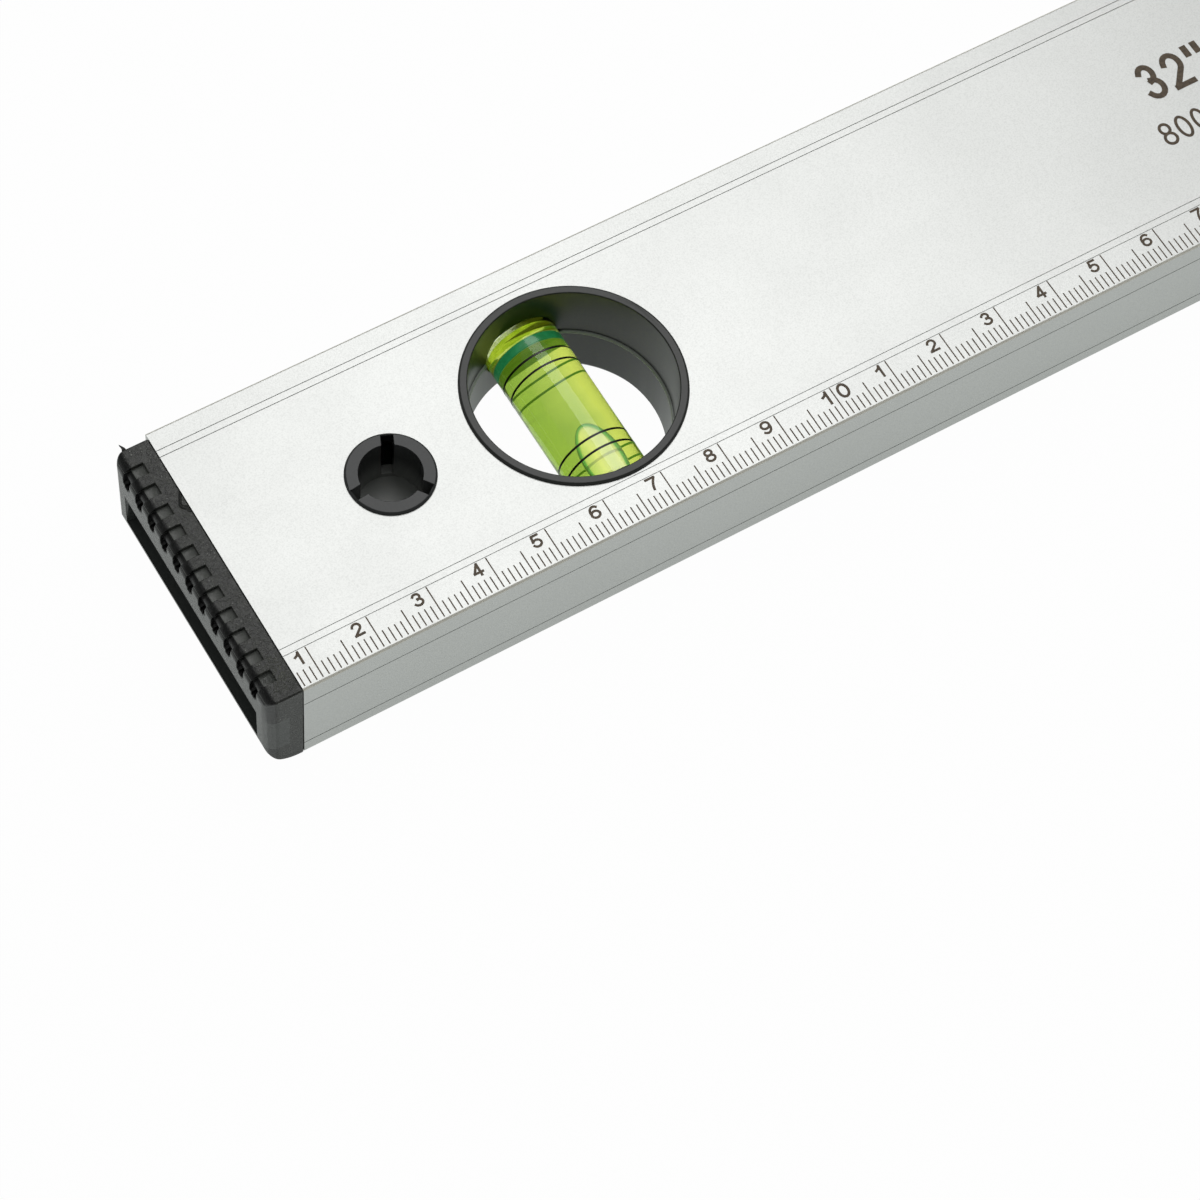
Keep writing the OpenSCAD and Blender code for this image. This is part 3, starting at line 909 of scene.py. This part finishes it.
# %% Seal and stopper
seal_green, tree = new_material("green_seal")
here = add(tree, "ShaderNodeTexCoord", {}).outputs["Object"]
mottle = add(tree, "ShaderNodeTexNoise", {"Vector": here, "Scale": 1 / (1.8 * MM)})
green = add(
    tree,
    "ShaderNodeValToRGB",
    {"Fac": mottle.outputs["Fac"]},
    [(0.35, colour("#1f7a4e")), (0.65, colour("#38a078"))],
)
# The seal's emission is a painted glow, for the light that shines through it.
shader = add(
    tree,
    "ShaderNodeBsdfPrincipled",
    {
        "Base Color": green.outputs["Color"],
        "Roughness": 0.3,
        "IOR": 1.45,
        "Transmission Weight": 0.4,
        "Emission Color": colour("#2f9a62"),
        "Emission Strength": 0.22,
    },
)
add(tree, "ShaderNodeOutputMaterial", {"Surface": shader.outputs[0]})

stopper_clear, tree = new_material("clear_stopper")
here = add(tree, "ShaderNodeTexCoord", {}).outputs["Object"]
glue = add(tree, "ShaderNodeTexNoise", {"Vector": here, "Scale": 1 / (1.1 * MM), "Detail": 2.0})
wavy = add(
    tree, "ShaderNodeBump", {"Height": glue.outputs["Fac"], "Strength": 0.25, "Distance": 0.1 * MM}
)
pale = add(
    tree,
    "ShaderNodeValToRGB",
    {"Fac": glue.outputs["Fac"]},
    [(0.35, colour("#a8bc4c")), (0.7, colour("#dfe48c"))],
)
# The stopper's emission is a painted glow.
shader = add(
    tree,
    "ShaderNodeBsdfPrincipled",
    {
        "Base Color": pale.outputs["Color"],
        "Roughness": 0.25,
        "IOR": 1.03,
        "Transmission Weight": 1.0,
        "Emission Color": colour("#b4c828"),
        "Emission Strength": 0.08,
        "Normal": wavy.outputs["Normal"],
    },
)
add(tree, "ShaderNodeOutputMaterial", {"Surface": shader.outputs[0]})

print("closed by:", seal_green.name, "and", stopper_clear.name)

# %% [markdown]
# The reading lines are gloss ink wiped into the grooves of the tube. The ink is thin, and light from
# behind shines through it. So a line is black from outside, and dark green where it is seen through
# the dyed liquid, from inside the tube. Each side has its own material.

# %% Reading line ink
line_ink, tree = new_material("black_reading_line")
shader = add(
    tree, "ShaderNodeBsdfPrincipled", {"Base Color": colour("#0c1208"), "Roughness": 0.35, "IOR": 1.5}
)
add(tree, "ShaderNodeOutputMaterial", {"Surface": shader.outputs[0]})

# The inside's green and its emission are painted light, for the light that shines through the thin ink.
line_back, tree = new_material("reading_line_from_inside")
shader = add(
    tree,
    "ShaderNodeBsdfPrincipled",
    {
        "Base Color": colour("#1c6b45"),
        "Roughness": 0.5,
        "IOR": 1.5,
        "Emission Color": colour("#2f8f5c"),
        "Emission Strength": 0.45,
    },
)
add(tree, "ShaderNodeOutputMaterial", {"Surface": shader.outputs[0]})
print("reading lines:", line_ink.name, "and", line_back.name)

# %% [markdown]
# ## Building the three vials
#
# The two round windows and the centre window hold the same kind of vial, so one function builds a
# vial from its middle, its direction and its length. The bubble is an ellipsoid whose upper side is
# pressed flat against the bore, because the bore is what stops it: each point that would lie outside
# the bore is moved in towards the tube's axis. The reading lines are thin bands laid in the grooves,
# and their inner side has the ink that is seen through the liquid.

# %% Vials
# In mm. The bore is a barrel: its wall is an arc of BARREL_ARC, and BORE is its radius in the middle.
TUBE_RADIUS, BORE, BARREL_ARC, BORE_STEPS = 6.17, 4.8, 300.0, 24
BLIND_WALL, STOPPER, SEAL = 2.2, 2.5, 1.5
# The lines' places along the vial, how far they reach in and out of the tube's skin, and half their
# width at the bottom and at the top
LINES = (-9.4, -7.1, 7.1, 9.4)
LINE_IN, LINE_OUT = 0.06, 0.015
LINE_FOOT, LINE_TOP = 0.12, 0.19
# Half the bubble's width and depth, the depth of liquid over it before it is pressed flat, and the
# film between it and the liquid's skin
BUBBLE_WIDE, BUBBLE_DEEP, BUBBLE_DOWN, FILM = 2.6, 2.4, 0.3, 0.05


def inside_out(piece):
    """Turns a closed skin to face inwards, as a hole in a solid does."""
    made = bmesh.new()
    made.from_mesh(piece.data)
    bmesh.ops.reverse_faces(made, faces=made.faces)
    made.to_mesh(piece.data)
    made.free()
    return piece


def bore_at(along):
    """Radius of the barrel-shaped bore at a place along the vial."""
    return BORE - BARREL_ARC + math.sqrt(BARREL_ARC**2 - along**2)


def bubble(name, centre, axis, shift, half_length, low_end):
    """An air bubble that fills the top of the bore and stops at its blind end."""
    made = bmesh.new()
    bmesh.ops.create_uvsphere(made, u_segments=64, v_segments=40, radius=1.0)
    across = axis.cross(Vector((0, 0, 1))).normalized()
    height = BORE - BUBBLE_DEEP - BUBBLE_DOWN
    for v in made.verts:
        along = max(v.co.x * half_length, low_end + FILM - shift)
        wide, high = v.co.y * BUBBLE_WIDE, height + v.co.z * BUBBLE_DEEP
        limit = bore_at(along + shift) - FILM
        reach = math.hypot(wide, high)
        if reach > limit:
            wide, high = wide * limit / reach, high * limit / reach
        v.co = (centre + axis * (along + shift) + across * wide + Vector((0, 0, high))) * MM
    bmesh.ops.recalc_face_normals(made, faces=made.faces)
    mesh = bpy.data.meshes.new(name)
    made.to_mesh(mesh)
    made.free()
    return inside_out(finish_mesh(name, mesh, bubble_air, sharp=80))


def build_vial(tag, centre, axis, length, shift, half_length):
    """A vial with its fill. The bubble is shift mm from the middle and 2 * half_length mm long."""
    end = length / 2
    bore_end = end - STOPPER - SEAL
    block = turned(tag + "_tube", rounded(-end, end, TUBE_RADIUS, 0.2), centre, axis, acrylic)
    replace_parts(block, tag + "_vial")
    low = -end + BLIND_WALL
    wall = [(low, 0.0), (low, bore_at(low))]
    for k in range(1, BORE_STEPS + 1):
        along = low + (bore_end - low) * k / BORE_STEPS
        wall.append((along, bore_at(along)))
    wall.append((bore_end, 0.0))
    fill = inside_out(turned(tag + "_fill", wall, centre, axis, dyed_liquid))
    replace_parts(fill, tag + "_liquid")
    disc = rounded(bore_end + 0.02, bore_end + SEAL, BORE + 0.1, 0.2)
    seal = turned(tag + "_seal_ring", disc, centre, axis, seal_green)
    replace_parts(seal, tag + "_seal")
    pin = rounded(bore_end + SEAL + 0.03, end - 0.4, BORE, 0.45)
    plug = turned(tag + "_stopper_plug", pin, centre, axis, stopper_clear)
    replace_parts(inside_out(plug), tag + "_stopper")
    for number, at in enumerate(LINES):
        outer, inner = TUBE_RADIUS + LINE_OUT, TUBE_RADIUS - LINE_IN
        lower = [(at - LINE_FOOT, inner), (at - LINE_TOP, outer)]
        upper = [(at + LINE_TOP, outer), (at + LINE_FOOT, inner)]
        ring = turned("%s_line_%d" % (tag, number + 1), lower + upper + lower[:1], centre, axis, line_ink)
        ring.data.materials.append(line_back)
        for face in ring.data.polygons:
            outward = face.center / MM - centre
            outward -= axis * outward.dot(axis)
            if face.normal.dot(outward) < -0.5:
                face.material_index = 1
    air = bubble(tag + "_bubble", centre, axis, shift, half_length, low)
    print(tag, "vial: tube", round(length, 1), "mm, bubble", round(2 * half_length, 1), "mm at", shift)


# The vials' lengths, in mm, and the middle of the centre vial above the base edge
ROUND_VIAL, CENTRE_VIAL, CENTRE_HEIGHT = 31.1, 46.0, 33.6
diagonal = math.radians(45)
slant = Vector((math.cos(diagonal), math.sin(diagonal), 0))
middle = Vector((0, CENTRE_HEIGHT - PROFILE_HEIGHT / 2, MID_PLANE))
build_vial("left", Vector((*left_window, MID_PLANE)), Vector((0, 1, 0)), ROUND_VIAL, -9.9, 6.6)
build_vial("right", Vector((*right_window, MID_PLANE)), slant, ROUND_VIAL, 0.0, 4.2)
build_vial("centre", middle, Vector((1, 0, 0)), CENTRE_VIAL, 0.0, 4.6)

# %% [markdown]
# ## The printed scale
#
# The scale is screen printed in dark brown ink along the base edge: a line for each millimetre,
# longer ones at 5 and 10, and a bold digit to the left of each centimetre line. At each full
# 10 cm the number stands on both sides of its line. Ink is only a few hundredths of a millimetre
# thick, so all the lines go into one mesh of flat bars that lie just above the metal.

# %% Ink
print_ink, tree = new_material("brown_screen_ink")
# Thin spots let the metal through a little, so the tone varies over half a millimetre.
here = add(tree, "ShaderNodeTexCoord", {}).outputs["Object"]
thin = add(tree, "ShaderNodeTexNoise", {"Vector": here, "Scale": 1 / (0.5 * MM), "Detail": 3.0})
tone = add(
    tree,
    "ShaderNodeValToRGB",
    {"Fac": thin.outputs["Fac"]},
    [(0.3, colour("#4c3d2c")), (0.7, colour("#6c5a44"))],
)
shader = add(
    tree, "ShaderNodeBsdfPrincipled", {"Base Color": tone.outputs["Color"], "Roughness": 0.5, "IOR": 1.48}
)
add(tree, "ShaderNodeOutputMaterial", {"Surface": shader.outputs[0]})

print("ink ready:", print_ink.name)

# %% [markdown]
# The lines start just above the base edge and run along all of the metal between the caps. One
# function makes a mesh of any number of bars. A line's height comes from the first of 10, 5 and 1 mm
# that divides its place.

# %% Scale lines
# The lower and the upper side of the ink, which rests a hair above the metal
INK_LOW = FRONT_FACE + 0.004
INK_HIGH = FRONT_FACE + 0.02


def printed(name, made):
    """Turns a bmesh into a printed piece."""
    mesh = bpy.data.meshes.new(name)
    made.to_mesh(mesh)
    made.free()
    piece = finish_mesh(name, mesh, print_ink)
    print(name, "faces:", len(mesh.polygons))


def flat_bars(name, bars):
    """One printed piece of flat bars. Each bar is (low x, low y, high x, high y) in mm."""
    made = bmesh.new()
    for x0, y0, x1, y1 in bars:
        corners = [(x0, y0), (x1, y0), (x1, y1), (x0, y1)]
        low = [made.verts.new(Vector((x, y, INK_LOW)) * MM) for x, y in corners]
        high = [made.verts.new(Vector((x, y, INK_HIGH)) * MM) for x, y in corners]
        made.faces.new(high)
        made.faces.new(low[::-1])
        for k in range(4):
            n = (k + 1) % 4
            made.faces.new((low[k], low[n], high[n], high[k]))
    printed(name, made)


# The first and last mark that lie on the metal, the marks' lower end above the base edge and their
# width, and where a mark ends at each 10, 5 and 1 mm
FIRST, LAST = 7, 793
MARK_START, MARK_WIDTH = 0.55, 0.2
MARK_ENDS = {10: 6.05, 5: 4.5, 1: 3.0}
bars = []
for mark in range(FIRST, LAST + 1):
    reach = next(end for every, end in MARK_ENDS.items() if mark % every == 0)
    x, low_y = on_face(mark, MARK_START)
    bars.append((x - MARK_WIDTH / 2, low_y, x + MARK_WIDTH / 2, on_face(mark, reach)[1]))
flat_bars("scale_lines", bars)
print("scale lines:", len(bars))

# %% [markdown]
# The digits are a plain bold sans face. Each one is drawn here as a few pen strokes in a box that
# is one wide and one high, and a stroke becomes a ribbon of even width. That keeps the stroke's
# width in millimetres when the box is stretched to the printed size, as in a real typeface.

# %% Pen strokes of the digits
# Strokes that cross lie this far apart in height, in mm, so that neither hides the other by chance.
STROKE_LIFT = 0.001


def arc(centre, reach, start, stop, steps=14):
    """Points of an elliptic arc, with angles in degrees."""
    turns = [math.radians(start + (stop - start) * k / steps) for k in range(steps + 1)]
    return [(centre[0] + reach[0] * math.cos(t), centre[1] + reach[1] * math.sin(t)) for t in turns]


SIX = [arc((0.5, 0.3), (0.5, 0.3), 0, 360, 28), arc((0.58, 0.5), (0.58, 0.5), 52, 190)]
DIGITS = {
    "0": [arc((0.5, 0.5), (0.5, 0.5), 0, 360, 32)],
    "1": [[(1, 1), (1, 0)], [(0.95, 0.92), (0.6, 0.76), (0.1, 0.66)]],
    "2": [arc((0.5, 0.7), (0.46, 0.3), 165, -38) + [(0.06, 0.04)], [(0, 0), (1, 0)]],
    "3": [arc((0.47, 0.75), (0.41, 0.25), 155, -85), arc((0.48, 0.27), (0.5, 0.27), 85, -155)],
    "4": [[(0.72, 1), (0.72, 0)], [(0.68, 0.97), (0.04, 0.3)], [(0, 0.25), (1, 0.25)]],
    "5": [[(0.92, 1), (0.22, 1)], [(0.2, 0.98), (0.08, 0.5)], arc((0.48, 0.31), (0.5, 0.31), 140, -155)],
    "6": SIX,
    "7": [[(0, 1), (1, 1)], [(0.98, 0.95), (0.66, 0.62), (0.45, 0.3), (0.36, 0)]],
    "8": [arc((0.5, 0.76), (0.42, 0.24), 0, 360, 26), arc((0.5, 0.26), (0.5, 0.26), 0, 360, 28)],
    "9": [[(1 - x, 1 - y) for x, y in stroke] for stroke in SIX],
}


def ribbon(target, points, width, lift):
    """Adds a flat ribbon along the points, in mm, with square ends."""
    count = len(points)
    closed = math.dist(points[0], points[-1]) < 1e-6
    pairs = []
    for k, (x, y) in enumerate(points):
        before = points[k - 1] if k else (points[-2] if closed else points[0])
        after = points[k + 1] if k < count - 1 else (points[1] if closed else points[-1])
        along = Vector((after[0] - before[0], after[1] - before[1])).normalized()
        end = 0 if closed else (k == count - 1) - (k == 0)
        middle = Vector((x, y)) + along * (end * width / 2)
        across = Vector((-along.y, along.x)) * (width / 2)
        edges = [Vector((*(middle + side * across), INK_HIGH + lift)) * MM for side in (1, -1)]
        pairs.append([target.verts.new(edge) for edge in edges])
    for (a, b), (c, d) in zip(pairs, pairs[1:]):
        target.faces.new((a, b, d, c))


def set_digit(target, digit, low_x, low_y, width, height, pen):
    """Adds a digit whose outer box starts at low_x, low_y, in mm."""
    first_x, first_y = low_x + pen / 2, low_y + pen / 2
    for number, stroke in enumerate(DIGITS[digit]):
        points = [(first_x + x * (width - pen), first_y + y * (height - pen)) for x, y in stroke]
        ribbon(target, points, pen, STROKE_LIFT * number)


print("digits ready:", "".join(DIGITS))

# %% [markdown]
# Each centimetre line has its last digit on its left. At each full 10 cm the tens stand on the left
# and a slightly larger 0 on the right. A 1 is narrower than the other digits.

# %% Numbers of the scale
# In mm: the digits' foot above the base edge, their height and the pen, for a centimetre, for the
# tens and for the 0 beside them, and the room between a digit and its line
DIGIT_FOOT, DIGIT_TALL, DIGIT_PEN = 3.7, 2.3, 0.4
TENS_FOOT, TENS_TALL, TENS_PEN = 3.45, 2.55, 0.43
ZERO_DROP, ZERO_WIDE, ZERO_TALL, ZERO_PEN = 0.05, 2.0, 2.65, 0.45
DIGIT_ROOM, ZERO_ROOM = 1.2, 0.65
numbers = bmesh.new()
for cm in range(1, 80):
    if cm % 10 == 0:
        x, y = on_face(cm * 10, TENS_FOOT)
        tens_x = x - 2.1 - 0.4 * (cm > 10)
        tens_wide = 1.25 + 0.45 * (cm > 10)
        set_digit(numbers, str(cm // 10), tens_x, y, tens_wide, TENS_TALL, TENS_PEN)
        set_digit(numbers, "0", x + ZERO_ROOM, y - ZERO_DROP, ZERO_WIDE, ZERO_TALL, ZERO_PEN)
    else:
        wide = 1.15 if cm % 10 == 1 else 1.72
        x, y = on_face(cm * 10 - DIGIT_ROOM - wide, DIGIT_FOOT)
        set_digit(numbers, str(cm % 10), x, y, wide, DIGIT_TALL, DIGIT_PEN)
printed("scale_numbers", numbers)

# %% [markdown]
# The length of the level is printed large on the face, in inches and in millimetres. These are
# plain numbers that tell the size, set in the same ink. The two short bars are the inch mark.

# %% Length numbers
# Each digit with its place on the face, its width and height and its pen, in mm
sizes = bmesh.new()
for digit, low_x, low_y, wide, tall, pen in (
    ("3", 174.2, 25.7, 3.8, 7.0, 1.02),
    ("2", 178.9, 25.7, 4.0, 7.0, 1.02),
    ("8", 171.4, 17.4, 2.5, 4.4, 0.52),
    ("0", 174.5, 17.4, 2.5, 4.4, 0.52),
    ("0", 177.6, 17.4, 2.4, 4.4, 0.52),
):
    set_digit(sizes, digit, *on_face(low_x, low_y), wide, tall, pen)
printed("length_numbers", sizes)
flat_bars("inch_marks", [(*on_face(x, 30.3), *on_face(x + 1.15, 32.6)) for x in (183.8, 185.7)])

# %% [markdown]
# ## Floor
#
# The level lies on a plain white sweep under one large softbox, with a dim room around it. The
# floor is a matt white. To the camera, and through the clear vials, it is lifted to the white of the
# photograph's background, and still keeps a little of the level's shadow. In glossy reflections it
# is lifted less, so that the metal shows the floor with its shadow. One function tells a node tree
# how much of a plain white a ray is to see, and serves the floor and then the world.

# %% Floor


def lifted(tree, rays, straight, glossy):
    """The share of plain white: straight to the camera or through clear pieces, and in a mirror."""
    seen = add(
        tree,
        "ShaderNodeMath",
        {0: rays.outputs["Is Camera Ray"], 1: rays.outputs["Is Transmission Ray"]},
        operation="MAXIMUM",
    )
    lift = add(tree, "ShaderNodeMath", {0: seen.outputs[0], 1: straight}, operation="MULTIPLY")
    mirror = add(
        tree, "ShaderNodeMath", {0: rays.outputs["Is Glossy Ray"], 1: glossy}, operation="MULTIPLY"
    )
    share = add(tree, "ShaderNodeMath", {0: lift.outputs[0], 1: mirror.outputs[0]}, operation="MAXIMUM")
    return share.outputs[0]


bpy.ops.mesh.primitive_plane_add(size=12, location=(0, 0, 0))
floor = bpy.context.object
floor.name = "floor"
white_floor, tree = new_material("white_floor")
rays = add(tree, "ShaderNodeLightPath", {})
share = lifted(tree, rays, 0.98, 0.58)
matt = add(tree, "ShaderNodeBsdfDiffuse", {"Color": colour("#f4f4f4")})
# In a mirror the white is a little cool, as the metal's base edge is in the photograph.
white = add(
    tree,
    "ShaderNodeMix",
    {"Factor": rays.outputs["Is Glossy Ray"], "A": (1, 1, 1, 1), "B": (0.955, 1.0, 0.975, 1)},
    data_type="RGBA",
)
lit = add(tree, "ShaderNodeEmission", {"Color": white.outputs["Result"], "Strength": 1.0})
both = add(tree, "ShaderNodeMixShader", {0: share, 1: matt.outputs[0], 2: lit.outputs[0]})
add(tree, "ShaderNodeOutputMaterial", {"Surface": both.outputs[0]})
floor.data.materials.append(white_floor)
print("floor ready")

# %% [markdown]
# ## World
#
# The room is grey overhead, as with its lamps off, with pale walls low down. The walls show in the
# aluminium when it is seen at a low angle, so it looks silver from there too. The camera sees a
# plain white past the floor's edge.

# %% World
world = bpy.data.worlds.new("studio")
bpy.context.scene.world = world
world.use_nodes = True
tree = world.node_tree
tree.nodes.clear()
look = add(tree, "ShaderNodeTexCoord", {})
split = add(tree, "ShaderNodeSeparateXYZ", {"Vector": look.outputs["Generated"]})
# From the horizon, 0, to straight up, 1
sky = add(
    tree,
    "ShaderNodeValToRGB",
    {"Fac": split.outputs["Z"]},
    [
        (0.0, (0.49, 0.5, 0.49, 1)),
        (0.28, (0.49, 0.5, 0.49, 1)),
        (0.4, (0.135, 0.145, 0.14, 1)),
        (0.7, (0.216, 0.224, 0.22, 1)),
        (1.0, (0.258, 0.264, 0.26, 1)),
    ],
)
room = add(tree, "ShaderNodeBackground", {"Color": sky.outputs["Color"], "Strength": 1.0})
backdrop = add(tree, "ShaderNodeBackground", {"Color": (1, 1, 1, 1), "Strength": 1.0})
rays = add(tree, "ShaderNodeLightPath", {})
share = lifted(tree, rays, 1.0, 0.03)
both = add(tree, "ShaderNodeMixShader", {0: share, 1: room.outputs[0], 2: backdrop.outputs[0]})
add(tree, "ShaderNodeOutputWorld", {"Surface": both.outputs[0]})
print("world ready")

# %% [markdown]
# ## Softbox
#
# One large soft lamp hangs beyond the top edge and looks straight down, as a lamp does that isn't
# turned. It brightens the face from behind, and leaves the base edge to the floor's light.

# %% Softbox
# The lamp's middle and its sides in metres, and its power in watts
SOFTBOX, SOFTBOX_SIDES, SOFTBOX_POWER = (0.11, 0.62, 1.3), (0.96, 1.25), 8.0
lamp = bpy.data.lights.new("overhead", "AREA")
lamp.shape = "RECTANGLE"
lamp.size, lamp.size_y = SOFTBOX_SIDES
lamp.energy = SOFTBOX_POWER
softbox = bpy.data.objects.new("overhead", lamp)
softbox.location = SOFTBOX
bpy.context.scene.collection.objects.link(softbox)
bpy.context.scene.view_settings.view_transform = "Standard"
print("lamp ready")
